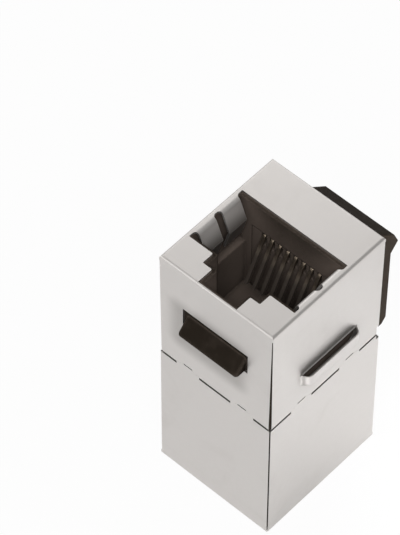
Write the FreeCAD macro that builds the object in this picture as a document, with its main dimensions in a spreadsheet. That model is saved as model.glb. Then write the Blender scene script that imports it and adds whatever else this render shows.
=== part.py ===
import FreeCAD, Part
import math
import os
import re
import Sketcher

# Shielded in-line keystone coupler with a plug port at each end, standing on its rear port.
# Millimetres, +Z up along the plug direction, origin at the centre of the rear port face.
# X runs across the width, -Y is the side of the fixed catch, +Y the side of the springy latch.
#
# Each end is modelled in a port frame: the outer port face is z = 0 and the piece lies below it.
# Depths are distances behind the port face. The rear end is the front one turned half a turn about Y.

DIMENSIONS = {
    # whole body
    "body_width": 14.5,
    "body_depth": 16.2,
    "body_height": 33.4,
    # folded sheet of the two shields
    "sheet_thickness": 0.25,
    "bend_radius": 0.3,
    "front_shield_length": 15.15,
    "seam_gap": 0.34,
    "seam_fit": 0.012,
    "seam_top_gap": 0.15,
    "seam_tab_offset": 3.55,
    "seam_tab_rise": 0.3,
    "seam_tab_top": 1.1,
    "seam_tab_base": 3.0,
    "corner_slit_start": 0.6,
    "corner_slit_reach": 0.6,
    "front_slit_width": 0.3,
    "front_slit_taper": -0.42,
    "rear_slit_width": 0.14,
    "corner_relief_size": 0.5,
    "front_relief_height": 1.1,
    "rear_relief_height": 0.6,
    # stepped port opening in the sheet: plug body, then two steps of the plug's spring tab
    "opening_half_width": 6.65,
    "opening_contact_edge": 3.15,
    "opening_shoulder_edge": 4.45,
    "first_step_half_width": 3.65,
    "first_step_edge": 5.9,
    "second_step_half_width": 2.45,
    "opening_corner_radius": 0.15,
    # spring flaps folded into the port from both sides of the opening
    "flap_length": 2.42,
    "flap_slot_width": 0.97,
    "flap_slot_overrun": 0.08,
    "flap_root_radius": 0.4,
    "flap_bend_radius": 0.55,
    "flap_lean": 21,
    "flap_return": 14,
    "flap_crest_depth": 2.55,
    "flap_tip_depth": 5.2,
    # louver pressed out of each side of the front shield, open towards the port face
    "louver_depth": 10.45,
    "louver_centre": 0.3,
    "louver_half_length": 3.15,
    "louver_reach": 0.85,
    "louver_thickness": 0.12,
    "louver_height": 2.0,
    "louver_foot_radius": 0.3,
    "louver_edge_flare": 0.08,
    "louver_edge_height": 0.1,
    # cut-outs of the front shield for the catch and the latch
    "catch_window_half_width": 4.2,
    "catch_window_top_depth": 5.7,
    "catch_window_low_depth": 8.5,
    "latch_cutout_half_width": 4.7,
    "latch_cutout_depth": 1.9,
    # black mouldings round the two ports
    "port_half_width": 5.95,
    "port_rim": 0.35,
    "port_depth": 13.4,
    "housing_edge_chamfer": 0.25,
    "flap_recess_half_width": 6.7,
    "flap_recess_depth": 7.0,
    "peg_radius": 0.8,
    "peg_length": 1.4,
    "peg_across": 5.0,
    "peg_side": -6.0,
    "peg_play": 0.05,
    # fixed catch on the front moulding
    "catch_half_width": 3.83,
    "catch_top_depth": 6.6,
    "catch_tip_depth": 8.2,
    "catch_low_depth": 8.35,
    "catch_reach": 1.2,
    "catch_corner_radius": 0.36,
    "catch_edge_radius": 0.25,
    # springy latch on the front moulding, hinged near the port face, free end to the rear
    "latch_half_width": 4.45,
    "latch_root_sink": 0.5,
    "latch_root_depth": 2.45,
    "latch_shoulder_reach": 4.9,
    "latch_shoulder_depth": 6.7,
    "latch_tip_reach": 5.6,
    "latch_tip_depth": 8.3,
    "latch_lip_reach": 4.56,
    "latch_lip_depth": 9.45,
    "latch_arm_low_reach": 4.44,
    "latch_arm_low_depth": 19.8,
    "latch_end_reach": 3.85,
    "latch_end_depth": 20.45,
    "latch_inner_reach": 3.35,
    "latch_ramp_drop": 1.72,
    "latch_edge_radius": 0.25,
    "latch_elbow_radius": 0.8,
    # comb inserts that hold the contact wires
    "insert_half_width": 5.15,
    "insert_face": 2.85,
    "insert_back": 6.1,
    "insert_top_depth": 3.85,
    "insert_low_depth": 16.4,
    "insert_headroom": 0.05,
    "comb_slot_width": 0.62,
    "comb_slot_back": 4.3,
    "comb_slot_depth": 5.6,
    # spring contact wires
    "contact_count": 8,
    "contact_pitch": 1.016,
    "contact_width": 0.4,
    "contact_thickness": 0.36,
    "contact_run": 4.0,
    "contact_bend_radius": 0.6,
    "contact_bend_depth": 4.65,
    "contact_slope": 27,
    "contact_leg": 5.6,
    "contact_foot_chamfer": 0.25,
    "contact_foot_end": 7.25,
    "contact_near_row_depth": 14.0,
    "contact_far_row_depth": 15.6,
    # small board that joins the two sets of wires
    "board_half_width": 5.0,
    "board_thickness": 0.9,
    "board_half_height": 5.0,
    "board_play": 0.05,
    "board_back_room": 0.35,
    "board_hole_play": 0.06,
}

HOUSING_LENGTH = "body_height / 2"
REAR_SHIELD_LENGTH = "(body_height - front_shield_length - seam_gap)"
BACK_FACE = "body_depth / 2"
INNER_HALF_WIDTH = "(body_width / 2 - sheet_thickness)"
INNER_HALF_DEPTH = "(body_depth / 2 - sheet_thickness)"
TOLERANCE = 1e-4

doc = FreeCAD.newDocument("keystone_coupler")
dims = doc.addObject("Spreadsheet::Sheet", "dims")
for row, (alias, number) in enumerate(DIMENSIONS.items(), start=1):
    dims.set(f"A{row}", alias)
    dims.set(f"B{row}", str(number))
    dims.setAlias(f"B{row}", alias)
doc.recompute()


# Helpers: formulas, bodies, sketches and features

def formula(text):
    """Point every dimension name of a formula at its cell in the sheet."""
    return re.sub(r"\b[a-z]+(?:_[a-z]+)+\b", r"dims.\g<0>", text)


def size(text):
    """The present value of a formula, in millimetres or degrees."""
    return float(dims.evalExpression(formula(text)))


def new_body(label):
    body = doc.addObject("PartDesign::Body", label)
    body.Label = label
    return body


def origin_feature(body, role):
    return next(item for item in body.Origin.OriginFeatures if item.Role == role)


def sketch_on(body, name, role, lift="0", across="0", along="0"):
    """Sketch on one of the body's own origin planes, lifted along its normal and shifted in it."""
    sketch = body.newObject("Sketcher::SketchObject", name)
    sketch.AttachmentSupport = [(origin_feature(body, role), "")]
    sketch.MapMode = "FlatFace"
    for axis, text in (("x", across), ("y", along), ("z", lift)):
        sketch.setExpression(f"AttachmentOffset.Base.{axis}", formula(text))
    return sketch


def arc_between(start, end, radius, turn):
    """Arc of less than half a circle: turn is 1 for one that turns left on its way, -1 to the right."""
    chord = end - start
    half = chord.Length / 2
    sagitta = radius - math.sqrt(max(radius**2 - half**2, 0))
    side = FreeCAD.Vector(chord.y, -chord.x, 0).normalize()
    return Part.Arc(start, (start + end) / 2 + side * (sagitta * turn), end)


def add_outline(sketch, corners):
    """Closed outline. A corner is (x, y), or (x, y, radius, turn) where an arc leads to it."""
    points = [FreeCAD.Vector(size(corner[0]), size(corner[1]), 0) for corner in corners]
    starts = []
    ends = []
    for index, corner in enumerate(corners):
        begin, finish = points[index - 1], points[index]
        if len(corner) == 2:
            edge = sketch.addGeometry(Part.LineSegment(begin, finish), False)
        else:
            edge = sketch.addGeometry(arc_between(begin, finish, size(corner[2]), corner[3]), False)
            radius = sketch.addConstraint(Sketcher.Constraint("Radius", edge, size(corner[2])))
            sketch.setExpression(f"Constraints[{radius}]", formula(corner[2]))
        forward = sketch.getPoint(edge, 1).distanceToPoint(begin) < TOLERANCE
        starts.append((edge, 1 if forward else 2))
        ends.append((edge, 2 if forward else 1))
    for index, corner in enumerate(corners):
        following = starts[(index + 1) % len(corners)]
        sketch.addConstraint(Sketcher.Constraint("Coincident", *ends[index], *following))
        for kind, text, value in zip(("DistanceX", "DistanceY"), corner, points[index]):
            bound = sketch.addConstraint(Sketcher.Constraint(kind, -1, 1, *ends[index], value))
            sketch.setExpression(f"Constraints[{bound}]", formula(text))


def add_rectangle(sketch, left, right, low, high):
    add_outline(sketch, [(left, low), (right, low), (right, high), (left, high)])


def add_circle(sketch, across, along, radius):
    centre = FreeCAD.Vector(size(across), size(along), 0)
    circle = sketch.addGeometry(Part.Circle(centre, FreeCAD.Vector(0, 0, 1), size(radius)), False)
    for kind, text, value in (("DistanceX", across, centre.x), ("DistanceY", along, centre.y)):
        bound = sketch.addConstraint(Sketcher.Constraint(kind, -1, 1, circle, 3, value))
        sketch.setExpression(f"Constraints[{bound}]", formula(text))
    bound = sketch.addConstraint(Sketcher.Constraint("Radius", circle, size(radius)))
    sketch.setExpression(f"Constraints[{bound}]", formula(radius))


def extrude(body, kind, name, sketch, length=None, backwards=False, both_ways=False):
    """Pad or Pocket of a given length. A Pocket with no length goes right through."""
    feature = body.newObject(f"PartDesign::{kind}", name)
    feature.Profile = sketch
    feature.SideType = "Symmetric" if both_ways else "One side"
    feature.Reversed = backwards
    if length is None:
        feature.Type = "ThroughAll"
    else:
        feature.setExpression("Length", formula(length))
    doc.recompute()
    return feature


def revolve_half(body, kind, name, sketch):
    """Revolution or Groove of a quarter turn to each side, about the sketch's own upright axis."""
    feature = body.newObject(f"PartDesign::{kind}", name)
    feature.Profile = sketch
    feature.ReferenceAxis = (sketch, ["V_Axis"])
    feature.Midplane = True
    feature.Angle = 180
    doc.recompute()
    return feature


def mirror(body, name, features, role):
    """Repeat features on the other side of an origin plane."""
    copy = body.newObject("PartDesign::Mirrored", name)
    copy.Originals = features
    copy.MirrorPlane = (origin_feature(body, role), [""])
    body.Tip = copy
    doc.recompute()
    return copy


def half_turn(body, name, features):
    """Repeat features on the opposite wall."""
    pattern = body.newObject("PartDesign::PolarPattern", name)
    pattern.Originals = features
    pattern.Axis = (origin_feature(body, "Z_Axis"), [""])
    pattern.Angle = 360
    pattern.Occurrences = 2
    body.Tip = pattern
    doc.recompute()
    return pattern


def row_of(body, name, features, pitch, count):
    """Repeat features along X, the first one being the lowest in X."""
    pattern = body.newObject("PartDesign::LinearPattern", name)
    pattern.Originals = features
    pattern.Direction = (origin_feature(body, "X_Axis"), [""])
    pattern.Mode = "Spacing"
    pattern.setExpression("Offset", formula(pitch))
    pattern.Occurrences = count
    body.Tip = pattern
    doc.recompute()
    return pattern


def dress(body, kind, name, base, edges, value, text):
    """Fillet or Chamfer on named edges of the feature before it."""
    feature = body.newObject(f"PartDesign::{kind}", name)
    feature.Base = (base, edges)
    feature.setExpression(value, formula(text))
    doc.recompute()
    return feature


def edges_where(shape, test):
    return [f"Edge{number}" for number, edge in enumerate(shape.Edges, start=1) if test(edge)]


def edge_along_x(shape, along, height):
    """Names of the edges that run in X through a place given in Y and Z."""
    line_along = size(along)
    line_height = size(height)

    def here(edge):
        box = edge.BoundBox
        flat = box.YLength < TOLERANCE and box.ZLength < TOLERANCE
        return flat and abs(box.YMin - line_along) < TOLERANCE and abs(box.ZMin - line_height) < TOLERANCE
    return edges_where(shape, here)


def place(body, end, across="0"):
    """Put a piece drawn in the port frame at the front or the rear end."""
    if end == "front":
        body.setExpression("Placement.Base.z", formula("body_height"))
    else:
        body.Placement = FreeCAD.Placement(FreeCAD.Vector(), FreeCAD.Rotation(FreeCAD.Vector(0, 1, 0), 180))
    body.setExpression("Placement.Base.x", formula(across))


def port_outline(half_width, inset):
    """Stepped plug opening, drawn inside the sheet's own opening by the inset."""
    right = [
        (half_width, f"opening_contact_edge - {inset}"),
        (half_width, f"-opening_shoulder_edge + {inset}"),
        (f"first_step_half_width - {inset}", f"-opening_shoulder_edge + {inset}"),
        (f"first_step_half_width - {inset}", f"-first_step_edge + {inset}"),
        (f"second_step_half_width - {inset}", f"-first_step_edge + {inset}"),
        (f"second_step_half_width - {inset}", f"-{INNER_HALF_DEPTH} + {inset}"),
    ]
    left = [(f"-({across})", along) for across, along in reversed(right)]
    return right + left


# Folded sheet shields

def fold_box(body, length):
    """Box folded from sheet: a port plate with rounded bends and four walls, open at the seam."""
    plan = sketch_on(body, "plan", "XY_Plane")
    add_rectangle(plan, "-body_width / 2", "body_width / 2", "-body_depth / 2", "body_depth / 2")
    block = extrude(body, "Pad", "block", plan, length, backwards=True)
    rim = edges_where(block.Shape, lambda edge: edge.BoundBox.ZMin > -TOLERANCE)
    dress(body, "Fillet", "outer_bends", block, rim, "Radius", "bend_radius")
    inside = sketch_on(body, "inside", "XY_Plane", lift=f"-{length}")
    add_rectangle(
        inside, f"-{INNER_HALF_WIDTH}", INNER_HALF_WIDTH, f"-{INNER_HALF_DEPTH}", INNER_HALF_DEPTH,
    )
    hollow = extrude(body, "Pocket", "hollow", inside, f"{length} - sheet_thickness", backwards=True)

    plate_underside = -size("sheet_thickness")

    def under_plate(edge):
        box = edge.BoundBox
        return box.ZLength < TOLERANCE and abs(box.ZMin - plate_underside) < TOLERANCE
    inner_rim = edges_where(hollow.Shape, under_plate)
    dress(body, "Fillet", "inner_bends", hollow, inner_rim, "Radius", "bend_radius - sheet_thickness")


def cut_port_opening(body):
    """Stepped opening in the port plate, with its step corners slightly rounded."""
    opening = sketch_on(body, "opening", "XY_Plane")
    add_outline(opening, port_outline("opening_half_width", "0"))
    cut = extrude(body, "Pocket", "port_opening", opening, "bend_radius")

    last_step = -size("first_step_edge") - TOLERANCE
    widest_step = size("first_step_half_width") + TOLERANCE

    def step_corner(edge):
        box = edge.BoundBox
        upright = max(box.XLength, box.YLength) < TOLERANCE and box.ZMax > -TOLERANCE
        return upright and last_step < box.YMin < 0 and abs(box.XMin) < widest_step
    corners = edges_where(cut.Shape, step_corner)
    dress(body, "Fillet", "opening_corners", cut, corners, "Radius", "opening_corner_radius")


def flap_slot(sketch, inward, low, low_radius, high, high_radius):
    """Outline of one slot beside a flap, with a rounded corner on either side of its end."""
    end = "opening_half_width + flap_slot_overrun"
    add_outline(sketch, [
        (inward, high),
        (f"{end} - {high_radius}", high),
        (end, f"{high} - {high_radius}", high_radius, -1),
        (end, f"{low} + {low_radius}"),
        (f"{end} - {low_radius}", low, low_radius, -1),
        (inward, low),
    ])


def fold_flaps(body):
    """Two spring flaps on each side: a round bend, a leg leaning into the port and a tip leaning back."""
    back_radius = "(flap_bend_radius - sheet_thickness)"
    front_across = "(opening_half_width - flap_bend_radius * cos(flap_lean))"
    front_depth = "(flap_bend_radius - flap_bend_radius * sin(flap_lean))"
    crest = f"({front_across} - (flap_crest_depth - {front_depth}) * tan(flap_lean))"
    tip = f"({crest} + (flap_tip_depth - flap_crest_depth) * tan(flap_return))"
    crease = "(sheet_thickness / (1 + cos(flap_lean + flap_return)))"
    span = "(opening_contact_edge + opening_shoulder_edge)"
    middle = "((opening_contact_edge - opening_shoulder_edge) / 2)"
    profile = sketch_on(body, "flap_profile", "XZ_Plane", lift=f"-{middle}")
    add_outline(profile, [
        ("opening_half_width + sheet_thickness", "0"),
        ("opening_half_width", "0"),
        (front_across, f"-{front_depth}", "flap_bend_radius", 1),
        (crest, "-flap_crest_depth"),
        (tip, "-flap_tip_depth"),
        (
            f"{tip} + sheet_thickness * cos(flap_return)",
            "-flap_tip_depth + sheet_thickness * sin(flap_return)",
        ),
        (
            f"{crest} + {crease} * (cos(flap_lean) + cos(flap_return))",
            f"-flap_crest_depth + {crease} * (sin(flap_return) - sin(flap_lean))",
        ),
        (
            f"opening_half_width - {back_radius} * cos(flap_lean)",
            f"-flap_bend_radius + {back_radius} * sin(flap_lean)",
        ),
        ("opening_half_width", "-sheet_thickness", back_radius, -1),
        ("opening_half_width + sheet_thickness", "-sheet_thickness"),
    ])
    flaps = extrude(body, "Pad", "flaps", profile, span, both_ways=True)

    slots = sketch_on(body, "flap_slots_outline", "XY_Plane")
    root, corner = "flap_root_radius", "flap_slot_overrun"
    half_slot = "flap_slot_width / 2"
    inward = f"{crest} - sheet_thickness"
    flap_slot(slots, inward, f"{middle} - {half_slot}", root, f"{middle} + {half_slot}", root)
    flap_slot(
        slots, inward, "-opening_shoulder_edge", corner, f"{middle} - {half_slot} - flap_length", root,
    )
    flap_slot(
        slots, inward, f"{middle} + {half_slot} + flap_length", root, "opening_contact_edge", corner,
    )
    cut = extrude(body, "Pocket", "flap_slots", slots, "flap_tip_depth + sheet_thickness")
    mirror(body, "flaps_both_sides", [flaps, cut], "YZ_Plane")


def slit_corners(body, length, width, taper):
    """The walls are folded separately, so a narrow slit is left along each corner."""
    slits = sketch_on(body, "slits", "XY_Plane", lift=f"-{length}")
    skew = f"{width} / sqrt(8)"
    for side in ("1", "-1"):
        for face in ("1", "-1"):
            add_outline(slits, [
                (f"{side} * (body_width / 2 + {across})", f"{face} * (body_depth / 2 + {along})")
                for across, along in (
                    (f"corner_slit_reach - {skew}", f"corner_slit_reach + {skew}"),
                    (f"corner_slit_reach + {skew}", f"corner_slit_reach - {skew}"),
                    (f"-corner_slit_reach + {skew}", f"-corner_slit_reach - {skew}"),
                    (f"-corner_slit_reach - {skew}", f"-corner_slit_reach + {skew}"),
                )
            ])
    cut = extrude(body, "Pocket", "corner_slits", slits, f"{length} - corner_slit_start", backwards=True)
    cut.setExpression("TaperAngle", formula(taper))
    doc.recompute()


def seam_tabs(sketch, half_outline):
    """Two low tabs of the seam side by side, each given by the corners of its right half."""
    corners = half_outline + [(f"-{across}", height) for across, height in reversed(half_outline)]
    for side in ("1", "-1"):
        add_outline(sketch, [(f"{side} * seam_tab_offset + {across}", height) for across, height in corners])


def notch_seam(body, length):
    """Notches in the front shield's rear edge that take the rear shield's tabs, with room over their tops."""
    for name, role in (("seam_notches_wide", "XZ_Plane"), ("seam_notches_deep", "YZ_Plane")):
        notches = sketch_on(body, f"{name}_outline", role)
        seam_tabs(notches, [
            ("seam_tab_base / 2", f"-{length} - seam_gap"),
            ("seam_tab_base / 2", f"-{length}"),
            ("seam_tab_top / 2", f"-{length} + seam_tab_rise"),
            ("seam_tab_top / 2", f"-{length} + seam_tab_rise + seam_top_gap"),
        ])
        extrude(body, "Pocket", name, notches, both_ways=True)


def raise_seam_tabs(body, length):
    """Tabs on the rear shield's edge, a pair on each wall: an upright step, then slanted flanks."""
    step = "(seam_gap - seam_fit)"
    for name, role, lift in (
        ("seam_tabs_wide", "XZ_Plane", "body_depth / 2"),
        ("seam_tabs_deep", "YZ_Plane", "body_width / 2"),
    ):
        tabs = sketch_on(body, f"{name}_outline", role, lift=lift)
        seam_tabs(tabs, [
            ("seam_tab_base / 2", f"-{length}"),
            ("seam_tab_base / 2", f"-{length} - {step}"),
            ("seam_tab_top / 2", f"-{length} - {step} - seam_tab_rise"),
        ])
        pair = extrude(body, "Pad", name, tabs, "sheet_thickness", backwards=True)
        half_turn(body, f"{name}_opposite", [pair])


def cut_front_windows(body, length):
    window = sketch_on(body, "catch_window_outline", "XZ_Plane")
    add_rectangle(
        window, "-catch_window_half_width", "catch_window_half_width",
        "-catch_window_low_depth", "-catch_window_top_depth",
    )
    extrude(body, "Pocket", "catch_window", window, backwards=True)
    cutout = sketch_on(body, "latch_cutout_outline", "XZ_Plane")
    add_rectangle(
        cutout, "-latch_cutout_half_width", "latch_cutout_half_width",
        f"-{length} - seam_gap", "-latch_cutout_depth",
    )
    extrude(body, "Pocket", "latch_cutout", cutout)


def relieve_corners(body, length, height):
    """Small reliefs at the seam ends of the two corners on the latch side."""
    relief = sketch_on(body, "relief_outline", "XY_Plane", lift=f"-{length}")
    near = "(body_width / 2 - corner_relief_size)"
    beyond = "(body_width / 2 + sheet_thickness)"
    for side in ("1", "-1"):
        add_rectangle(
            relief, f"{side} * {near}", f"{side} * {beyond}",
            "body_depth / 2 - corner_relief_size", "body_depth / 2 + sheet_thickness",
        )
    extrude(body, "Pocket", "corner_reliefs", relief, height, backwards=True)


def press_louvers(body):
    """Scoop pressed out of each side wall, round at both ends and open towards the port face."""
    wall = "body_width / 2"
    upright = "(louver_height - louver_reach)"
    inner_reach = "(louver_reach - louver_thickness)"
    features = []

    def scoop(kind, turned_kind, name, reach):
        """Straight middle and two turned ends of one profile: an upright lip, then a quarter round."""
        profile = [
            ("0", "-louver_depth"),
            (reach, "-louver_depth"),
            (reach, f"-louver_depth - {upright}"),
            ("0", f"-louver_depth - {upright} - {reach}", reach, -1),
        ]
        section = sketch_on(body, f"{name}_section", "XZ_Plane", lift="-louver_centre", across=wall)
        add_outline(section, profile)
        length = "2 * louver_half_length"
        features.append(extrude(body, kind, f"{name}_middle", section, length, both_ways=True))
        for end, side in (("near", "-"), ("far", "+")):
            end_place = f"-(louver_centre {side} louver_half_length)"
            turned = sketch_on(body, f"{name}_{end}_section", "XZ_Plane", lift=end_place, across=wall)
            add_outline(turned, profile)
            features.append(revolve_half(body, turned_kind, f"{name}_{end}_end", turned))

    scoop("Pad", "Revolution", "louver", "louver_reach")
    scoop("Pocket", "Groove", "louver_hollow", inner_reach)

    gap = sketch_on(body, "louver_gap_outline", "YZ_Plane", lift=wall, across="louver_centre")
    add_outline(gap, [
        (f"louver_half_length + {inner_reach}", "-louver_depth"),
        (f"louver_half_length + {inner_reach}", f"-louver_depth - {upright}"),
        ("louver_half_length", f"-louver_depth - {upright} - {inner_reach}", inner_reach, -1),
        ("-louver_half_length", f"-louver_depth - {upright} - {inner_reach}"),
        (f"-louver_half_length - {inner_reach}", f"-louver_depth - {upright}", inner_reach, -1),
        (f"-louver_half_length - {inner_reach}", "-louver_depth"),
    ])
    features.append(extrude(body, "Pocket", "louver_gap", gap, "2 * sheet_thickness"))

    flare = sketch_on(body, "louver_flare_section", "XZ_Plane", lift="-louver_centre", across=wall)
    add_outline(flare, [
        ("0", "-louver_depth"),
        ("louver_edge_flare", "-louver_depth"),
        ("0", "-louver_depth + louver_edge_height"),
    ])
    flare_length = f"2 * (louver_half_length + {inner_reach})"
    features.append(extrude(body, "Pad", "louver_flare", flare, flare_length, both_ways=True))
    both = mirror(body, "louvers_both_sides", features, "YZ_Plane")

    wall_place = size(wall)
    centre = size("louver_centre")
    outline = size("louver_half_length + louver_reach")
    lip_level = -size("louver_depth")
    foot_level = lip_level - size("louver_height")

    def at_foot(edge):
        box = edge.BoundBox
        on_wall = box.XLength < TOLERANCE and abs(abs(box.XMin) - wall_place) < TOLERANCE
        under_lip = box.ZMax < lip_level + TOLERANCE and box.ZMin < lip_level - TOLERANCE
        end_reach = max(abs(box.YMin - centre), abs(box.YMax - centre))
        rim = abs(box.ZMin - foot_level) < TOLERANCE or abs(end_reach - outline) < TOLERANCE
        return on_wall and under_lip and rim and box.DiagonalLength > TOLERANCE
    feet = edges_where(both.Shape, at_foot)
    dress(body, "Fillet", "louver_feet", both, feet, "Radius", "louver_foot_radius")


def make_front_shield():
    body = new_body("front_shield")
    length = "front_shield_length"
    fold_box(body, length)
    cut_port_opening(body)
    fold_flaps(body)
    slit_corners(body, length, "front_slit_width", "front_slit_taper")
    notch_seam(body, length)
    cut_front_windows(body, length)
    relieve_corners(body, length, "front_relief_height")
    press_louvers(body)
    place(body, "front")
    return body


def make_rear_shield():
    body = new_body("rear_shield")
    fold_box(body, REAR_SHIELD_LENGTH)
    cut_port_opening(body)
    fold_flaps(body)
    slit_corners(body, REAR_SHIELD_LENGTH, "rear_slit_width", "0")
    raise_seam_tabs(body, REAR_SHIELD_LENGTH)
    relieve_corners(body, REAR_SHIELD_LENGTH, "rear_relief_height")
    place(body, "rear")
    return body


# Black mouldings

def mould_port(body):
    """Block that fills the shield: plug port, room for the flaps, chamber for comb and board."""
    plan = sketch_on(body, "plan", "XY_Plane", lift="-sheet_thickness")
    add_rectangle(
        plan, f"-{INNER_HALF_WIDTH}", INNER_HALF_WIDTH, f"-{INNER_HALF_DEPTH}", INNER_HALF_DEPTH,
    )
    block = extrude(body, "Pad", "block", plan, f"{HOUSING_LENGTH} - sheet_thickness", backwards=True)
    top_level = -size("sheet_thickness") - TOLERANCE
    rim = edges_where(block.Shape, lambda edge: edge.BoundBox.ZMin > top_level)
    dress(body, "Chamfer", "rim_chamfer", block, rim, "Size", "housing_edge_chamfer")

    port = sketch_on(body, "port_outline", "XY_Plane")
    add_outline(port, port_outline("port_half_width", "port_rim"))
    extrude(body, "Pocket", "port", port, "port_depth")

    room = sketch_on(body, "flap_room", "XY_Plane")
    add_rectangle(
        room, "-flap_recess_half_width", "flap_recess_half_width",
        "-opening_shoulder_edge + port_rim", "opening_contact_edge - port_rim",
    )
    extrude(body, "Pocket", "flap_recess", room, "flap_recess_depth")

    chamber = sketch_on(body, "insert_room", "XY_Plane", lift=f"-{HOUSING_LENGTH}")
    add_rectangle(
        chamber, "-insert_half_width", "insert_half_width", "opening_contact_edge - port_rim", "insert_back",
    )
    insert_reach = f"{HOUSING_LENGTH} - insert_top_depth + insert_headroom"
    extrude(body, "Pocket", "insert_chamber", chamber, insert_reach, backwards=True)

    slot = sketch_on(body, "board_room", "XY_Plane", lift=f"-{HOUSING_LENGTH}")
    add_rectangle(
        slot, "-board_half_width - board_play", "board_half_width + board_play",
        "insert_back", "insert_back + board_thickness + board_back_room",
    )
    extrude(body, "Pocket", "board_chamber", slot, "board_half_height + board_play", backwards=True)


def add_catch(body):
    """Fixed wedge on the catch side: a ramp towards the port face and a flat underside."""
    wall = f"-{INNER_HALF_DEPTH}"
    tip = "-(body_depth / 2 + catch_reach)"
    side = sketch_on(body, "catch_side", "YZ_Plane")
    add_outline(side, [
        (f"{wall} + sheet_thickness", "-catch_low_depth"),
        (f"{wall} + sheet_thickness", "-catch_top_depth"),
        (wall, "-catch_top_depth"),
        (tip, "-catch_tip_depth"),
        (tip, "-catch_low_depth"),
    ])
    wedge = extrude(body, "Pad", "catch", side, "2 * catch_half_width", both_ways=True)

    tip_place = size(tip)
    wall_place = size(wall)
    low_level = -size("catch_low_depth")
    top_level = -size("catch_top_depth")

    def at_tip(edge):
        box = edge.BoundBox
        upright = max(box.XLength, box.YLength) < TOLERANCE
        return upright and abs(box.YMin - tip_place) < TOLERANCE
    corners = edges_where(wedge.Shape, at_tip)
    rounded = dress(body, "Fillet", "catch_corners", wedge, corners, "Radius", "catch_corner_radius")

    def round_ramp(edge):
        box = edge.BoundBox
        outside = box.YMin < wall_place - TOLERANCE and box.YMax < wall_place + TOLERANCE
        return outside and low_level + TOLERANCE < box.ZMin and box.ZMax < top_level + TOLERANCE
    rim = edges_where(rounded.Shape, round_ramp)
    dress(body, "Fillet", "catch_edges", rounded, rim, "Radius", "catch_edge_radius")


def add_latch(body):
    """Springy arm: ramp out from the root near the port face, hooked nose, straight arm to the rear."""
    def out(reach):
        return f"{BACK_FACE} + {reach}"
    slope = "((latch_shoulder_depth - latch_root_depth) / latch_shoulder_reach)"
    root_rise = f"(sheet_thickness + latch_root_sink) * {slope}"
    root = f"{INNER_HALF_DEPTH} - latch_root_sink"
    elbow_depth = f"latch_root_depth + latch_inner_reach * {slope} + latch_ramp_drop"
    side = sketch_on(body, "latch_side", "YZ_Plane")
    add_outline(side, [
        (root, f"-latch_root_depth + {root_rise}"),
        (out("latch_shoulder_reach"), "-latch_shoulder_depth"),
        (out("latch_tip_reach"), "-latch_tip_depth"),
        (out("latch_lip_reach"), "-latch_lip_depth"),
        (out("latch_arm_low_reach"), "-latch_arm_low_depth"),
        (out("latch_end_reach"), "-latch_end_depth"),
        (out("latch_inner_reach"), "-latch_end_depth"),
        (out("latch_inner_reach"), f"-({elbow_depth})"),
        (root, f"-latch_root_depth + {root_rise} - latch_ramp_drop"),
    ])
    arm = extrude(body, "Pad", "latch", side, "2 * latch_half_width", both_ways=True)
    elbow = edge_along_x(arm.Shape, out("latch_inner_reach"), f"-({elbow_depth})")
    bend = dress(body, "Fillet", "latch_elbow", arm, elbow, "Radius", "latch_elbow_radius")
    nose = edge_along_x(bend.Shape, out("latch_shoulder_reach"), "-latch_shoulder_depth")
    nose += edge_along_x(bend.Shape, out("latch_tip_reach"), "-latch_tip_depth")
    dress(body, "Fillet", "latch_nose", bend, nose, "Radius", "latch_edge_radius")


def peg_outline(body, name, radius):
    """Two round pegs or sockets on the face where the mouldings meet."""
    pegs = sketch_on(body, name, "XY_Plane", lift=f"-{HOUSING_LENGTH}")
    for side in ("1", "-1"):
        add_circle(pegs, f"{side} * peg_across", "peg_side", radius)
    return pegs


def make_front_housing():
    body = new_body("front_housing")
    mould_port(body)
    add_catch(body)
    add_latch(body)
    pegs = peg_outline(body, "peg_outline", "peg_radius")
    extrude(body, "Pad", "pegs", pegs, "peg_length", backwards=True)
    place(body, "front")
    return body


def make_rear_housing():
    body = new_body("rear_housing")
    mould_port(body)
    sockets = peg_outline(body, "socket_outline", "peg_radius + peg_play")
    extrude(body, "Pocket", "peg_sockets", sockets, "peg_length + peg_play", backwards=True)
    place(body, "rear")
    return body


# Comb inserts, contact wires and board

def contact_row(number):
    """Depth of a wire's foot: the feet stand in two staggered rows."""
    return "contact_near_row_depth" if number % 2 else "contact_far_row_depth"


def contact_across(number):
    return f"contact_pitch * ({number} - (contact_count + 1) / 2)"


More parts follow.
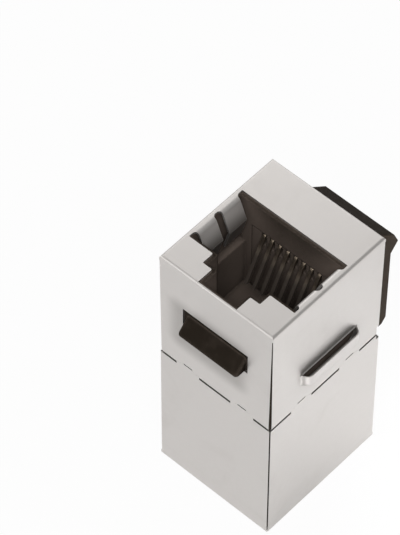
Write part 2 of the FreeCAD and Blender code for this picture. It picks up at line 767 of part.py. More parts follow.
def make_insert(end):
    """Comb block with a slot for each wire's bend, a bore for its run and a bore for its foot."""
    body = new_body(f"{end}_contact_insert")
    plan = sketch_on(body, "plan", "XY_Plane", lift="-insert_top_depth")
    add_rectangle(plan, "-insert_half_width", "insert_half_width", "insert_face", "insert_back")
    extrude(body, "Pad", "block", plan, "insert_low_depth - insert_top_depth", backwards=True)

    first = contact_across(1)
    count = DIMENSIONS["contact_count"]
    comb = sketch_on(body, "comb_slot", "XY_Plane", lift="-insert_top_depth")
    add_rectangle(
        comb, f"{first} - comb_slot_width / 2", f"{first} + comb_slot_width / 2",
        "insert_face - contact_thickness", "comb_slot_back",
    )
    slot = extrude(body, "Pocket", "comb_slots", comb, "comb_slot_depth - insert_top_depth")
    row_of(body, "comb_row", [slot], "contact_pitch", count)

    run = sketch_on(body, "run_bore", "XY_Plane", lift="-insert_top_depth")
    add_rectangle(
        run, f"{first} - contact_width / 2", f"{first} + contact_width / 2",
        "contact_run - contact_thickness / 2", "contact_run + contact_thickness / 2",
    )
    run_reach = "contact_far_row_depth + contact_thickness / 2 - insert_top_depth"
    bore = extrude(body, "Pocket", "run_bores", run, run_reach)
    row_of(body, "run_row", [bore], "contact_pitch", count)

    feet = sketch_on(body, "foot_bores_outline", "XZ_Plane", lift="-insert_back")
    for number in range(1, count + 1):
        middle = contact_across(number)
        row = contact_row(number)
        add_rectangle(
            feet, f"{middle} - contact_width / 2", f"{middle} + contact_width / 2",
            f"-{row} - contact_thickness / 2", f"-{row} + contact_thickness / 2",
        )
    foot_reach = "insert_back - contact_run + contact_thickness / 2"
    extrude(body, "Pocket", "foot_bores", feet, foot_reach, backwards=True)
    place(body, end)
    return body


def make_contact(end, number):
    """Spring wire: foot through the board, run up the comb, round bend, then a leg sloping into the port."""
    body = new_body(f"{end}_contact_{number}")
    half = "contact_thickness / 2"
    row = contact_row(number)
    inner = f"(contact_bend_radius - {half})"
    outer = f"(contact_bend_radius + {half})"

    def on_bend(radius, leg):
        """Point where a side of the bend ends, moved down the sloping leg."""
        return (
            f"contact_run - contact_bend_radius - {radius} * cos(contact_slope) - {leg} * sin(contact_slope)",
            f"-contact_bend_depth + {radius} * sin(contact_slope) - {leg} * cos(contact_slope)",
        )
    near = f"contact_run - {half}"
    far = f"contact_run + {half}"
    side = sketch_on(body, "side", "YZ_Plane")
    add_outline(side, [
        ("contact_foot_end", f"-{row} - {half}"),
        (f"{near} + contact_foot_chamfer", f"-{row} - {half}"),
        (near, f"-{row} - {half} + contact_foot_chamfer"),
        (near, "-contact_bend_depth"),
        (*on_bend(inner, "0"), inner, 1),
        on_bend(inner, "contact_leg"),
        on_bend(outer, "contact_leg"),
        on_bend(outer, "0"),
        (far, "-contact_bend_depth", outer, -1),
        (far, f"-{row} + {half}"),
        ("contact_foot_end", f"-{row} + {half}"),
    ])
    extrude(body, "Pad", "wire", side, "contact_width", both_ways=True)
    middle = contact_across(number)
    place(body, end, middle if end == "front" else f"-({middle})")
    return body


def make_board():
    """Board between comb and housing wall, with a square hole for every wire's foot."""
    body = new_body("circuit_board")
    count = DIMENSIONS["contact_count"]
    middle = "body_height / 2"
    plate = sketch_on(body, "plate", "XZ_Plane", lift="-insert_back")
    add_rectangle(
        plate, "-board_half_width", "board_half_width",
        f"{middle} - board_half_height", f"{middle} + board_half_height",
    )
    extrude(body, "Pad", "board", plate, "board_thickness", backwards=True)
    holes = sketch_on(body, "holes", "XZ_Plane", lift="-insert_back")
    hole_half_width = "(contact_width / 2 + board_hole_play)"
    hole_half_height = "(contact_thickness / 2 + board_hole_play)"
    for number in range(1, count + 1):
        across = contact_across(number)
        row = contact_row(number)
        for place_across, level in ((across, f"body_height - {row}"), (f"-({across})", row)):
            add_rectangle(
                holes, f"{place_across} - {hole_half_width}", f"{place_across} + {hole_half_width}",
                f"{level} - {hole_half_height}", f"{level} + {hole_half_height}",
            )
    extrude(body, "Pocket", "wire_holes", holes, both_ways=True)
    return body


sub_parts = [
    make_front_shield(),
    make_rear_shield(),
    make_front_housing(),
    make_rear_housing(),
    make_board(),
]
for port_end in ("front", "rear"):
    sub_parts.append(make_insert(port_end))
    for wire_number in range(1, DIMENSIONS["contact_count"] + 1):
        sub_parts.append(make_contact(port_end, wire_number))
doc.recompute()

for item in doc.Objects:
    if "Invalid" in item.State or "Error" in item.State:
        raise RuntimeError(f"{item.Label} failed: {item.State}")
for piece in sub_parts:
    if piece.Shape.isNull() or not piece.Shape.isValid() or len(piece.Shape.Solids) != 1:
        raise RuntimeError(f"{piece.Label} is not one valid solid")

os.makedirs("parts", exist_ok=True)
for piece in sub_parts:
    piece.Shape.exportStep(f"parts/{piece.Label}.step")
    box = piece.Shape.BoundBox
    print(f"{piece.Label}: {piece.Shape.Volume:.2f} mm3, z {box.ZMin:.2f} to {box.ZMax:.2f}")
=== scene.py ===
import math

import bpy
from mathutils import Matrix, Vector


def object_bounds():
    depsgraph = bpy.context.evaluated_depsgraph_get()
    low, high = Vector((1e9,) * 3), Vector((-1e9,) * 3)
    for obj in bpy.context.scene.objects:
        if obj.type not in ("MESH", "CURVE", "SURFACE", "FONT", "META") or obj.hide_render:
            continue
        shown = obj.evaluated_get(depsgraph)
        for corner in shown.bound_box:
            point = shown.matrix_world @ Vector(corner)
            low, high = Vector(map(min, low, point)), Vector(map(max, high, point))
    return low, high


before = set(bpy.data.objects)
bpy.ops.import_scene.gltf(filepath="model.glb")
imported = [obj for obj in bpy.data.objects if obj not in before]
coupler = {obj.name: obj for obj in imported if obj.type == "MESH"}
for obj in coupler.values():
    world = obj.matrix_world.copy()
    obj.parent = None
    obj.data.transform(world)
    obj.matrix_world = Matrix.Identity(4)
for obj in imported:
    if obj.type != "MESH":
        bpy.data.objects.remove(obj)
cad_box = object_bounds()

# Looks of the shielded keystone coupler: satin nickel shields, black mouldings, gold wires.
# Metres: it stands on its rear port, the front port looks up, and the latch is on the +Y side.

MM = 0.001

# Camera, at the photograph's viewing angle in degrees
VIEW_AZIMUTH = 42.33
VIEW_ELEVATION = 53.15
VIEW_ROLL = 0.163
VIEW_TARGET = Vector((-11.86, 2.75, 16.7)) * MM
VIEW_DISTANCE = 374.7 * MM
VIEW_NEAREST = 0.01
VIEW_FURTHEST = 10
SENSOR_WIDTH = 36.0
FOCAL_LENGTH = 251.2

# Rounded edges of the combs, the board and the wires; shields and housings keep their edges as they are
COMB_EDGE = 0.03 * MM
WIRE_EDGE = 0.06 * MM
EDGE_STEPS = 2
SHARP_ANGLE = math.radians(35)
WELD_REACH = 0.002 * MM

# Height of the coupler's middle, and how far the two port faces lie from it
MIDDLE = (cad_box[0].z + cad_box[1].z) / 2
HALF_HEIGHT = (cad_box[1].z - cad_box[0].z) / 2

# The walls that carry catch and latch lie between these distances from the plug's axis
WALL_INNER = 7.6 * MM
WALL_OUTER = 8.1 * MM

# The spring flaps lie nearer to the plug's axis than the side walls
FLAP_OUTER = 6.2 * MM
SIDE_WALL_INNER = 6.9 * MM

# Depths in the port where the flaps' tarnish starts, where it is full, and where their painted shade is
# full
FLAP_TARNISH_START = 0.125 * MM
FLAP_TARNISH_FULL = 0.5 * MM
FLAP_SHADE_FULL = 2.8 * MM

# Painted shadow on the wall round the catch: where it is full, and how far it fades
CATCH_SHADOW_MIDDLE = -0.9 * MM
CATCH_SHADOW_HALF_WIDTH = 3.7 * MM
CATCH_SHADOW_HEIGHTS = (22.4 * MM, 27.2 * MM)
CATCH_SHADOW_REACH = 2.1 * MM

# The plate is kept free of painted shade from the end that the coupler stands on up to this height
SHADE_FREE_HEIGHT = 1.5 * MM

# Distances from the coupler's middle between which the painted fill light in the port grows, and the wires
# get their plating
PAINTED_FILL_START = 6 * MM
PAINTED_FILL_FULL = 15 * MM
PLATING_START = 10.2 * MM
PLATING_FULL = 11.8 * MM

# Colours of the finishes
NICKEL = (0.672, 0.644, 0.622, 1)
NICKEL_DULL = (0.61, 0.582, 0.556, 1)
NICKEL_RUBBED_HIGHLIGHT = (0.76, 0.745, 0.72, 1)
NICKEL_PAINTED_SHADE = (0.10, 0.088, 0.078, 1)
WARM_BLACK = (0.0165, 0.0126, 0.0094, 1)
RUBBED_BLACK = (0.042, 0.033, 0.026, 1)
WORN_BLACK_HIGHLIGHT = (0.095, 0.076, 0.063, 1)
CREVICE_SHADE_BLACK = (0.004, 0.0034, 0.0028, 1)
LATCH_SHEEN_BROWN = (0.080, 0.063, 0.049, 1)
PORT_PAINTED_FILL = (0.120, 0.095, 0.080, 1)
GOLD = (0.26, 0.21, 0.16, 1)
GOLD_DULL = (0.15, 0.125, 0.10, 1)
BARE_BRONZE_SHADED = (0.046, 0.037, 0.030, 1)
LAMINATE = (0.018, 0.085, 0.035, 1)
LAMINATE_LIGHT = (0.05, 0.16, 0.07, 1)

# Grain: density of its broad part beside the fine one, and the tones between which a finish changes
BROAD_GRAIN_SHARE = 0.21
GRAIN_TONES = (0.3, 0.7)

# Handling marks: the noise level at which they start, how far coverage lowers it, and their soft rim
MARKS_START = 0.8
MARKS_SPREAD = 0.5
MARKS_RIM = 0.3

# How far a surface has to turn at an edge for wear and painted highlight to start, and to be full
EDGE_TURNS = (0.005, 0.06)

# Satin nickel: its metal look, the share of each mark, painted shade and painted highlight on it, and its
# roughness
NICKEL_METALLIC = 0.8
FLAP_METALLIC = 0.62
NICKEL_MARKS_SHARE = 0.35
NICKEL_CORNER_SHADE_SHARE = 0.9
NICKEL_SURROUND_SHADE_SHARE = 0.28
NICKEL_CATCH_SHADOW_SHARE = 0.36
FLAP_SHADE_SHARE = 0.9
NICKEL_EDGE_HIGHLIGHT_SHARE = 0.8
NICKEL_ROUGHNESS = (0.34, 0.40)
NICKEL_MARKS_ROUGHNESS = 0.06

# Black mouldings: their gloss, the share of each mark, painted light and painted shade on them, and their
# roughness
MOULDING_GLOSS = 0.01
MOULDING_MARKS_SHARE = 0.35
MOULDING_CORNER_SHADE_SHARE = 0.4
DEEP_PAINTED_FILL_SHARE = 0.74
HOUSING_ROUGHNESS = (0.42, 0.56)
COMB_ROUGHNESS = (0.38, 0.5)

# Painted sheen on the latch: how far its flanks face sideways, and its share on other faces and on dark
# grain
LATCH_FLANK_FACING = (0.6, 0.95)
LATCH_FACE_SHARE = 0.16
LATCH_GRAIN_SHARE = 0.7

# Wires and board
WIRE_ROUGHNESS = (0.4, 0.5)
LAMINATE_ROUGHNESS = (0.25, 0.4)

# Floor: a disc just under the coupler, and the shares of plain white seen on it and mirrored from it
FLOOR_RADIUS = 3.0
FLOOR_SIDES = 96
FLOOR_DROP = 0.02 * MM
FLOOR_COLOUR = (0.55, 0.55, 0.55, 1)
FLOOR_WHITE_SHARE = 0.96
FLOOR_MIRRORED_SHARE = 0.55
PLAIN_WHITE = (1, 1, 1, 1)

# Room light, dimmer round one direction: its azimuth and elevation, and the cosines where it fades
ROOM_COLOUR = (1, 0.995, 0.985, 1)
ROOM_STRENGTH = 0.4
ROOM_DIM_STRENGTH = 0.18
ROOM_DIM_SIDE = (120, 22)
ROOM_DIM_FADE = (0.3, 0.85)

# Spot lamps
SPOT_LAMP_RADIUS = 4 * MM
SPOT_SOFT_RIM = 0.9

# Sockets of a colour mix: its share, its two colours and its result
MIX_SHARE = 0
MIX_FIRST = 6
MIX_SECOND = 7
MIX_RESULT = 2


# Shader helpers

def feed(tree, socket, value):
    """Link an input to another socket, or set it to a plain value."""
    if isinstance(value, bpy.types.NodeSocket):
        tree.links.new(value, socket)
    else:
        socket.default_value = value


def add_node(tree, kind, inputs=None, **settings):
    """New shader node with its settings, and with values or links for its inputs."""
    made = tree.nodes.new(kind)
    for name, value in settings.items():
        setattr(made, name, value)
    for name, value in (inputs or {}).items():
        feed(tree, made.inputs[name], value)
    return made


def new_group(name, inputs, values, directions=()):
    """Empty node group with float inputs, float values and directions put out, and its two end nodes."""
    group = bpy.data.node_groups.new(name, "ShaderNodeTree")
    for label, value in inputs.items():
        socket = group.interface.new_socket(name=label, in_out="INPUT", socket_type="NodeSocketFloat")
        socket.default_value = value
    for label in values:
        group.interface.new_socket(name=label, in_out="OUTPUT", socket_type="NodeSocketFloat")
    for label in directions:
        group.interface.new_socket(name=label, in_out="OUTPUT", socket_type="NodeSocketVector")
    return group, group.nodes.new("NodeGroupInput"), group.nodes.new("NodeGroupOutput")


def use_group(tree, group, inputs):
    """Place a shared effect in a finish, with values of its own."""
    return add_node(tree, "ShaderNodeGroup", inputs, node_tree=group)


def map_range(tree, value, low, high, to_low=0.0, to_high=1.0):
    """Smooth step from one value to another, between two levels of what is given."""
    ranged = add_node(tree, "ShaderNodeMapRange", interpolation_type="SMOOTHSTEP")
    for index, source in enumerate((value, low, high, to_low, to_high)):
        feed(tree, ranged.inputs[index], source)
    return ranged.outputs[0]


def math_node(tree, operation, first, second=0.0):
    made = add_node(tree, "ShaderNodeMath", operation=operation)
    feed(tree, made.inputs[0], first)
    feed(tree, made.inputs[1], second)
    return made.outputs[0]


def product(tree, first, second):
    return math_node(tree, "MULTIPLY", first, second)


def larger(tree, first, second):
    return math_node(tree, "MAXIMUM", first, second)


def alike(tree, first, second):
    """Cosine of the angle between two directions."""
    made = add_node(tree, "ShaderNodeVectorMath", operation="DOT_PRODUCT")
    feed(tree, made.inputs[0], first)
    feed(tree, made.inputs[1], second)
    return made.outputs["Value"]


def mix_colour(tree, share, first, second):
    mixed = add_node(tree, "ShaderNodeMix", data_type="RGBA")
    feed(tree, mixed.inputs[MIX_SHARE], share)
    feed(tree, mixed.inputs[MIX_FIRST], first)
    feed(tree, mixed.inputs[MIX_SECOND], second)
    return mixed.outputs[MIX_RESULT]


def noise(tree, size, **more):
    """Noise on the coupler, with spots of about a given size; more inputs of it are given by name."""
    place = add_node(tree, "ShaderNodeTexCoord")
    inputs = {"Vector": place.outputs["Object"], "Scale": math_node(tree, "DIVIDE", 1.0, size)}
    inputs.update(more)
    return add_node(tree, "ShaderNodeTexNoise", inputs).outputs["Fac"]


# Effects that several finishes share

def surface_grain_group():
    """Fine grain of a moulded or plated surface: a height for bump and a tone between 0 and 1."""
    group, given, result = new_group(
        "surface_grain", {"Grain Size": 0.2 * MM, "Softness": 0.5}, ("Height", "Tone"),
    )
    size = given.outputs["Grain Size"]
    fine = noise(group, size, Detail=3.0, Roughness=given.outputs["Softness"])
    broad = noise(group, math_node(group, "DIVIDE", size, BROAD_GRAIN_SHARE), Detail=2.0)
    feed(group, result.inputs["Height"], fine)
    both = math_node(group, "ADD", fine, broad)
    feed(group, result.inputs["Tone"], math_node(group, "DIVIDE", both, 2.0))
    return group


def handling_marks_group():
    """Soft smudges from handling, between 0 and 1."""
    group, given, result = new_group("handling_marks", {"Mark Size": 4 * MM, "Coverage": 0.5}, ("Mask",))
    cloud = noise(group, given.outputs["Mark Size"], Detail=4.0, Roughness=0.55, Distortion=0.6)
    lowered = product(group, given.outputs["Coverage"], MARKS_SPREAD)
    start = math_node(group, "SUBTRACT", MARKS_START, lowered)
    full = math_node(group, "ADD", start, MARKS_RIM)
    feed(group, result.inputs["Mask"], map_range(group, cloud, start, full))
    return group


def edge_wear_and_highlight_group():
    """Edges lightened partly as wear and partly as painted highlight: a mask where the surface turns
    within the reach, broken by noise, and a soft normal.
    """
    group, given, result = new_group(
        "edge_wear_and_highlight", {"Reach": 0.2 * MM, "Break Up": 0.6 * MM}, ("Mask",), ("Normal",),
    )
    rounded = add_node(group, "ShaderNodeBevel", {"Radius": given.outputs["Reach"]}, samples=4)
    surface = add_node(group, "ShaderNodeNewGeometry")
    straight = alike(group, rounded.outputs["Normal"], surface.outputs["Normal"])
    edge = map_range(group, math_node(group, "SUBTRACT", 1.0, straight), *EDGE_TURNS)
    broken = product(group, edge, noise(group, given.outputs["Break Up"], Detail=3.0))
    feed(group, result.inputs["Mask"], broken)
    feed(group, result.inputs["Normal"], rounded.outputs["Normal"])
    return group


def crevice_shade_group():
    """Corners: 0 where the share of open space within the reach is Open, 1 where it is down to Shut."""
    group, given, result = new_group(
        "crevice_shade", {"Reach": 1 * MM, "Shut": 0.2, "Open": 0.95}, ("Mask",),
    )
    space = add_node(group, "ShaderNodeAmbientOcclusion", {"Distance": given.outputs["Reach"]}, samples=8)
    mask = map_range(group, space.outputs["AO"], given.outputs["Shut"], given.outputs["Open"], 1.0, 0.0)
    feed(group, result.inputs["Mask"], mask)
    return group


surface_grain = surface_grain_group()
handling_marks = handling_marks_group()
edge_wear_and_highlight = edge_wear_and_highlight_group()
crevice_shade = crevice_shade_group()


def grain_on(tree, size, softness):
    """Grain of a finish: a node that puts out Height and Tone."""
    return use_group(tree, surface_grain, {"Grain Size": size, "Softness": softness})


def marks_on(tree, size, coverage):
    return use_group(tree, handling_marks, {"Mark Size": size, "Coverage": coverage}).outputs["Mask"]


def edge_wear_and_highlight_on(tree, reach, break_up):
    """Wear and painted highlight of a finish along edges: a node that puts out Mask and Normal."""
    return use_group(tree, edge_wear_and_highlight, {"Reach": reach, "Break Up": break_up})


def crevices_on(tree, reach, shut, clear):
    return use_group(tree, crevice_shade, {"Reach": reach, "Shut": shut, "Open": clear}).outputs["Mask"]


def by_tone(tree, grain, low, high):
    """Value that follows the tone of a grain."""
    return map_range(tree, grain.outputs["Tone"], *GRAIN_TONES, low, high)


def grain_bump(tree, shader, grain, depth, strength, edges=None):
    """Bump of a fine grain, on soft edges where they are given."""
    bump = add_node(tree, "ShaderNodeBump", {
        "Height": grain.outputs["Height"], "Distance": depth, "Strength": strength,
    })
    if edges:
        tree.links.new(edges.outputs["Normal"], bump.inputs["Normal"])
    tree.links.new(bump.outputs["Normal"], shader.inputs["Normal"])


# Places on the coupler

def along_axis(tree, axis, kind="Object"):
    """Place of a surface point along one axis, or how far it faces that way with the kind Normal."""
    place = add_node(tree, "ShaderNodeTexCoord")
    return add_node(tree, "ShaderNodeSeparateXYZ", {"Vector": place.outputs[kind]}).outputs[axis]


def off_centre(tree, axis):
    """Distance from the plug's axis along X or Y."""
    return math_node(tree, "ABSOLUTE", along_axis(tree, axis))


def from_middle(tree):
    """Distance towards either port from the coupler's middle."""
    return math_node(tree, "ABSOLUTE", math_node(tree, "SUBTRACT", along_axis(tree, "Z"), MIDDLE))


def past_stretch(tree, axis, middle, half_length):
    """Distance past a stretch along one axis: 0 within it."""
    offset = math_node(tree, "SUBTRACT", along_axis(tree, axis), middle)
    past = math_node(tree, "SUBTRACT", math_node(tree, "ABSOLUTE", offset), half_length)
    return larger(tree, past, 0.0)


def between_walls(tree):
    """1 between the walls that carry catch and latch, 0 outside them."""
    return map_range(tree, off_centre(tree, "Y"), WALL_INNER, WALL_OUTER, 1.0, 0.0)


def flap_tarnish_and_shade(tree):
    """Tarnish and painted shade of the spring flaps: a mask of them, and a painted shade that grows from
    their bends to their tips.
    """
    beside = map_range(tree, off_centre(tree, "X"), FLAP_OUTER, SIDE_WALL_INNER, 1.0, 0.0)
    inside = product(tree, beside, between_walls(tree))
    level = from_middle(tree)
    bend_top = HALF_HEIGHT - FLAP_TARNISH_START
    bend_foot = HALF_HEIGHT - FLAP_TARNISH_FULL
    tip = HALF_HEIGHT - FLAP_SHADE_FULL
    below_face = map_range(tree, level, bend_foot, bend_top, 1.0, 0.0)
    depth = map_range(tree, level, tip, bend_foot, 1.0, 0.0)
    return product(tree, below_face, inside), product(tree, depth, inside)


def latch_sheen(tree):
    """Painted sheen on the latch, brown on its flanks: 1 on its flanks, less on its other faces, 0 inside
    the wall.
    """
    sideways = math_node(tree, "ABSOLUTE", along_axis(tree, "X", "Normal"))
    flank = map_range(tree, sideways, *LATCH_FLANK_FACING, LATCH_FACE_SHARE, 1.0)
    outside = map_range(tree, along_axis(tree, "Y"), WALL_INNER, WALL_OUTER)
    return product(tree, flank, outside)


def catch_shadow(tree):
    """Painted shadow on the wall round the catch: 1 close to it, 0 further out and on the other walls."""
    low, high = CATCH_SHADOW_HEIGHTS
    beside = past_stretch(tree, "X", CATCH_SHADOW_MIDDLE, CATCH_SHADOW_HALF_WIDTH)
    above = past_stretch(tree, "Z", (low + high) / 2, (high - low) / 2)
    squares = math_node(tree, "ADD", product(tree, beside, beside), product(tree, above, above))
    near = map_range(tree, math_node(tree, "SQRT", squares), 0.0, CATCH_SHADOW_REACH, 1.0, 0.0)
    on_wall = map_range(tree, along_axis(tree, "Y"), -WALL_OUTER, -WALL_INNER, 1.0, 0.0)
    return product(tree, near, on_wall)


# Finishes

def new_finish(name):
    """Empty finish with its shader joined to its output."""
    finish = bpy.data.materials.new(name)
    finish.use_nodes = True
    tree = finish.node_tree
    tree.nodes.clear()
    shader = tree.nodes.new("ShaderNodeBsdfPrincipled")
    output = tree.nodes.new("ShaderNodeOutputMaterial")
    tree.links.new(shader.outputs["BSDF"], output.inputs["Surface"])
    return finish, tree, shader


def satin_nickel():
    """Nickel plate on folded sheet: even satin, painted shade in corners, round the catch and towards the
    flaps' tips, tarnished flaps, edges lightened as wear and painted highlight.
    """
    finish, tree, shader = new_finish("satin_nickel")
    on_flaps, flap_shade = flap_tarnish_and_shade(tree)
    metallic = map_range(tree, on_flaps, 0.0, 1.0, NICKEL_METALLIC, FLAP_METALLIC)
    feed(tree, shader.inputs["Metallic"], metallic)

    grain = grain_on(tree, size=0.12 * MM, softness=0.6)
    marks = marks_on(tree, size=5 * MM, coverage=0.6)
    plate = mix_colour(tree, product(tree, marks, NICKEL_MARKS_SHARE), NICKEL, NICKEL_DULL)

    # Painted shade: the plate darkened in corners and creases, with a soft halo round raised parts
    corners = crevices_on(tree, reach=1.0 * MM, shut=0.3, clear=0.9)
    surrounds = crevices_on(tree, reach=2.5 * MM, shut=0.7, clear=1.0)
    painted_shade = product(tree, corners, NICKEL_CORNER_SHADE_SHARE)
    painted_shade = larger(tree, painted_shade, product(tree, surrounds, NICKEL_SURROUND_SHADE_SHARE))
    # Painted shadow round and under the catch
    painted_shade = larger(tree, painted_shade, product(tree, catch_shadow(tree), NICKEL_CATCH_SHADOW_SHARE))
    # Painted shade on the flaps, darker towards their tips
    painted_shade = larger(tree, painted_shade, product(tree, flap_shade, FLAP_SHADE_SHARE))
    shade_free_end = cad_box[0].z + SHADE_FREE_HEIGHT
    above_floor = map_range(tree, along_axis(tree, "Z"), shade_free_end, shade_free_end + SHADE_FREE_HEIGHT)
    plate = mix_colour(tree, product(tree, painted_shade, above_floor), plate, NICKEL_PAINTED_SHADE)

    # Edges lightened, partly as wear and partly as painted highlight
    edges = edge_wear_and_highlight_on(tree, reach=0.12 * MM, break_up=0.5 * MM)
    rubbed_highlight = product(tree, edges.outputs["Mask"], NICKEL_EDGE_HIGHLIGHT_SHARE)
    feed(tree, shader.inputs["Base Color"], mix_colour(tree, rubbed_highlight, plate, NICKEL_RUBBED_HIGHLIGHT))

    rough = by_tone(tree, grain, *NICKEL_ROUGHNESS)
    rough = math_node(tree, "ADD", rough, product(tree, marks, NICKEL_MARKS_ROUGHNESS))
    feed(tree, shader.inputs["Roughness"], rough)
    grain_bump(tree, shader, grain, depth=0.004 * MM, strength=0.25)
    return finish


def black_moulding(name, roughness):
    """Warm black plastic with a fine moulded grain, lightened in the port as painted fill light, with
    painted shade in creases and a painted brown sheen on the latch's flanks.
    """
    finish, tree, shader = new_finish(name)
    shader.inputs["Specular IOR Level"].default_value = MOULDING_GLOSS
    grain = grain_on(tree, size=0.16 * MM, softness=0.55)
    marks = marks_on(tree, size=2.2 * MM, coverage=0.7)
    skin = mix_colour(tree, product(tree, marks, MOULDING_MARKS_SHARE), WARM_BLACK, RUBBED_BLACK)

    # Painted sheen: the latch's flanks lightened to brown
    sheen = product(tree, latch_sheen(tree), by_tone(tree, grain, LATCH_GRAIN_SHARE, 1.0))
    skin = mix_colour(tree, sheen, skin, LATCH_SHEEN_BROWN)

    # Painted fill light: enclosed walls of the port lightened to lift their shade
    depths = crevices_on(tree, reach=9 * MM, shut=0.45, clear=0.9)
    near_mouth = map_range(tree, from_middle(tree), PAINTED_FILL_START, PAINTED_FILL_FULL, DEEP_PAINTED_FILL_SHARE, 1.0)
    painted_fill = product(tree, product(tree, depths, near_mouth), between_walls(tree))
    skin = mix_colour(tree, painted_fill, skin, PORT_PAINTED_FILL)

    # Painted shade in creases, such as round the catch's window
    corners = crevices_on(tree, reach=0.7 * MM, shut=0.4, clear=0.95)
    skin = mix_colour(tree, product(tree, corners, MOULDING_CORNER_SHADE_SHARE), skin, CREVICE_SHADE_BLACK)

    # Edges lightened, partly as wear and partly as painted highlight
    edges = edge_wear_and_highlight_on(tree, reach=0.32 * MM, break_up=0.4 * MM)
    feed(tree, shader.inputs["Base Color"], mix_colour(tree, edges.outputs["Mask"], skin, WORN_BLACK_HIGHLIGHT))
    feed(tree, shader.inputs["Roughness"], by_tone(tree, grain, *roughness))
    grain_bump(tree, shader, grain, depth=0.012 * MM, strength=0.4, edges=edges)
    return finish


def gold_wire():
    """Spring wire, dull gold plate where a plug touches it, and bare bronze further in, painted dark as
    shade.
    """
    finish, tree, shader = new_finish("gold_wire")
    grain = grain_on(tree, size=0.08 * MM, softness=0.5)
    marks = marks_on(tree, size=0.9 * MM, coverage=0.6)
    plating = mix_colour(tree, marks, GOLD, GOLD_DULL)
    plated = map_range(tree, from_middle(tree), PLATING_START, PLATING_FULL)
    feed(tree, shader.inputs["Metallic"], plated)
    # Bare bronze further in, painted dark as the port's shade
    feed(tree, shader.inputs["Base Color"], mix_colour(tree, plated, BARE_BRONZE_SHADED, plating))
    feed(tree, shader.inputs["Roughness"], by_tone(tree, grain, *WIRE_ROUGHNESS))
    grain_bump(tree, shader, grain, depth=0.003 * MM, strength=0.3)
    return finish


def green_laminate():
    """Board laminate under green varnish, with a faint cloudy grain."""
    finish, tree, shader = new_finish("green_laminate")
    grain = grain_on(tree, size=0.25 * MM, softness=0.5)
    marks = marks_on(tree, size=1.5 * MM, coverage=0.5)
    feed(tree, shader.inputs["Base Color"], mix_colour(tree, marks, LAMINATE, LAMINATE_LIGHT))
    feed(tree, shader.inputs["Roughness"], by_tone(tree, grain, *LAMINATE_ROUGHNESS))
    grain_bump(tree, shader, grain, depth=0.01 * MM, strength=0.4)
    return finish


# Dressing the pieces

def soften_edges(piece, width):
    """Small round on the sharp edges of a piece, so that they catch the light."""
    weld = piece.modifiers.new("weld", "WELD")
    weld.merge_threshold = WELD_REACH
    rounding = piece.modifiers.new("rounding", "BEVEL")
    rounding.width = width
    rounding.segments = EDGE_STEPS
    rounding.limit_method = "ANGLE"
    rounding.angle_limit = SHARP_ANGLE
    rounding.use_clamp_overlap = True
    rounding.harden_normals = True


def dress(name, finish, edge=None):
    """Give a piece its finish, and rounds where a width for them is given."""
    piece = coupler[name]
    piece.data.materials.clear()
    piece.data.materials.append(finish)
    if edge:
        soften_edges(piece, edge)


def dress_coupler():
    nickel = satin_nickel()
    housing_black = black_moulding("housing_black", HOUSING_ROUGHNESS)
    comb_black = black_moulding("comb_black", COMB_ROUGHNESS)
    gold = gold_wire()
    laminate = green_laminate()
    for name in coupler:
        if name.endswith("_shield"):
            dress(name, nickel)
        elif name.endswith("_housing"):
            dress(name, housing_black)
        elif name.endswith("_insert"):
            dress(name, comb_black, COMB_EDGE)
        elif name == "circuit_board":
            dress(name, laminate, COMB_EDGE)
        else:
            dress(name, gold, WIRE_EDGE)


# Stage: floor, light and camera

def towards(azimuth, elevation):
    """Unit vector from the coupler to a place at that azimuth and elevation in degrees."""
    around = math.radians(azimuth)
    up = math.radians(elevation)
    level = math.cos(up)
    return Vector((math.sin(around) * level, -math.cos(around) * level, math.sin(up)))


def white_to_view(tree, lit_shader):
    """Mix a shader with plain white for what the camera sees, and for what shows in metal and glass."""
    path = add_node(tree, "ShaderNodeLightPath")
    mirrored = larger(tree, path.outputs["Is Glossy Ray"], path.outputs["Is Transmission Ray"])
    mirrored = product(tree, mirrored, FLOOR_MIRRORED_SHARE)
    seen = product(tree, path.outputs["Is Camera Ray"], FLOOR_WHITE_SHARE)
    mixed = tree.nodes.new("ShaderNodeMixShader")
    feed(tree, mixed.inputs[0], larger(tree, seen, mirrored))
    tree.links.new(lit_shader, mixed.inputs[1])
    white = add_node(tree, "ShaderNodeEmission", {"Color": PLAIN_WHITE, "Strength": 1.0})
    tree.links.new(white.outputs["Emission"], mixed.inputs[2])
    return mixed


def pale_floor():
    """Flat disc that takes the coupler's shadow and is nearly white to the camera."""
    level = cad_box[0].z - FLOOR_DROP
    points = []
    for side in range(FLOOR_SIDES):
        angle = 2 * math.pi * side / FLOOR_SIDES
        points.append((FLOOR_RADIUS * math.cos(angle), FLOOR_RADIUS * math.sin(angle), level))
    mesh = bpy.data.meshes.new("pale_floor")
    mesh.from_pydata(points, [], [list(range(FLOOR_SIDES))])
    floor = bpy.data.objects.new("pale_floor", mesh)
    bpy.context.scene.collection.objects.link(floor)
    finish = bpy.data.materials.new("pale_floor")
    finish.use_nodes = True
    tree = finish.node_tree
    tree.nodes.clear()
    matte = add_node(tree, "ShaderNodeBsdfDiffuse", {"Color": FLOOR_COLOUR})
    mixed = white_to_view(tree, matte.outputs["BSDF"])
    output = tree.nodes.new("ShaderNodeOutputMaterial")
    tree.links.new(mixed.outputs["Shader"], output.inputs["Surface"])
    mesh.materials.append(finish)


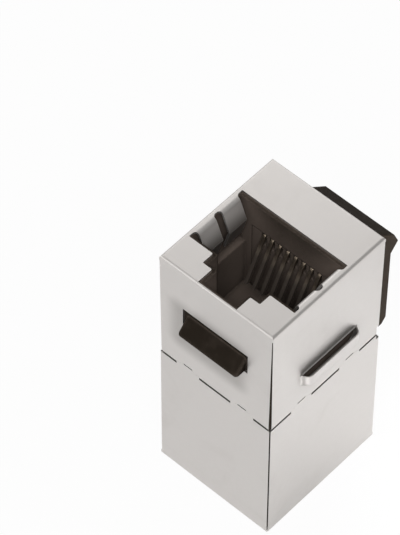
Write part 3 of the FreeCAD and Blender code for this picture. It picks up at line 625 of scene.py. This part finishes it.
def studio_world():
    """Soft light from all round, dimmer on the side behind the latch, and white to the camera."""
    world = bpy.data.worlds.new("studio")
    bpy.context.scene.world = world
    world.use_nodes = True
    tree = world.node_tree
    tree.nodes.clear()
    place = add_node(tree, "ShaderNodeTexCoord")
    to_dim_side = alike(tree, place.outputs["Generated"], towards(*ROOM_DIM_SIDE))
    level = map_range(tree, to_dim_side, *ROOM_DIM_FADE, ROOM_STRENGTH, ROOM_DIM_STRENGTH)
    room = add_node(tree, "ShaderNodeBackground", {"Color": ROOM_COLOUR, "Strength": level})
    white = add_node(tree, "ShaderNodeBackground", {"Color": PLAIN_WHITE, "Strength": 1.0})
    path = add_node(tree, "ShaderNodeLightPath")
    mixed = tree.nodes.new("ShaderNodeMixShader")
    tree.links.new(path.outputs["Is Camera Ray"], mixed.inputs[0])
    tree.links.new(room.outputs["Background"], mixed.inputs[1])
    tree.links.new(white.outputs["Background"], mixed.inputs[2])
    output = tree.nodes.new("ShaderNodeOutputWorld")
    tree.links.new(mixed.outputs["Shader"], output.inputs["Surface"])


def hang_lamp(name, lamp, target, azimuth, elevation, distance):
    """Hang a lamp at a distance from its target, and aim it there."""
    holder = bpy.data.objects.new(name, lamp)
    direction = towards(azimuth, elevation)
    holder.location = target + direction * distance
    holder.rotation_mode = "QUATERNION"
    holder.rotation_quaternion = (-direction).to_track_quat("-Z", "Y")
    bpy.context.scene.collection.objects.link(holder)
    return holder


def softbox(name, azimuth, elevation, distance, size, brightness):
    """Square lamp aimed at the coupler: brightness 1 looks white in a mirror."""
    lamp = bpy.data.lights.new(name, "AREA")
    lamp.shape = "SQUARE"
    lamp.size = size
    lamp.energy = brightness * math.pi * size**2
    centre = (cad_box[0] + cad_box[1]) / 2
    holder = hang_lamp(name, lamp, centre, azimuth, elevation, distance)
    holder.visible_camera = False


def floor_spot(name, azimuth, elevation, distance, target, radius, brightness):
    """Round pool of light on the floor: brightness 1 lights a white floor to white."""
    lamp = bpy.data.lights.new(name, "SPOT")
    lamp.energy = brightness * (2 * math.pi * distance) ** 2
    lamp.shadow_soft_size = SPOT_LAMP_RADIUS
    lamp.spot_size = 2 * math.atan(radius / distance)
    lamp.spot_blend = SPOT_SOFT_RIM
    hang_lamp(name, lamp, target, azimuth, elevation, distance)


def studio_lamps():
    """Softboxes for the walls and the port, and spots that lighten the shadow on the floor."""
    softbox("top_softbox", azimuth=-138, elevation=35, distance=0.15, size=0.12, brightness=1.0)
    softbox("side_softbox", azimuth=-27, elevation=26, distance=0.5, size=0.3, brightness=1.1)
    floor_spot(
        "floor_spot", azimuth=50, elevation=58, distance=0.45,
        target=Vector((25, 14, 0)) * MM, radius=24 * MM, brightness=1.55,
    )
    floor_spot(
        "corner_spot", azimuth=42, elevation=60, distance=0.45,
        target=Vector((23, -18, 0)) * MM, radius=13 * MM, brightness=5.0,
    )
    softbox("camera_softbox", azimuth=42, elevation=56, distance=0.45, size=0.16, brightness=18.0)


def photograph_camera():
    """Camera at the photograph's viewing angle."""
    lens = bpy.data.cameras.new("photograph_view")
    lens.sensor_width = SENSOR_WIDTH
    lens.lens = FOCAL_LENGTH
    lens.clip_start = VIEW_NEAREST
    lens.clip_end = VIEW_FURTHEST
    camera = bpy.data.objects.new("photograph_view", lens)
    back = towards(VIEW_AZIMUTH, VIEW_ELEVATION)
    camera.location = VIEW_TARGET + back * VIEW_DISTANCE
    aim = (-back).to_track_quat("-Z", "Y").to_matrix()
    roll = Matrix.Rotation(math.radians(VIEW_ROLL), 3, "Z")
    camera.rotation_mode = "QUATERNION"
    camera.rotation_quaternion = (aim @ roll).to_quaternion()
    bpy.context.scene.collection.objects.link(camera)
    bpy.context.scene.camera = camera


dress_coupler()
pale_floor()
studio_world()
studio_lamps()
photograph_camera()
bpy.context.scene.view_settings.view_transform = "Standard"
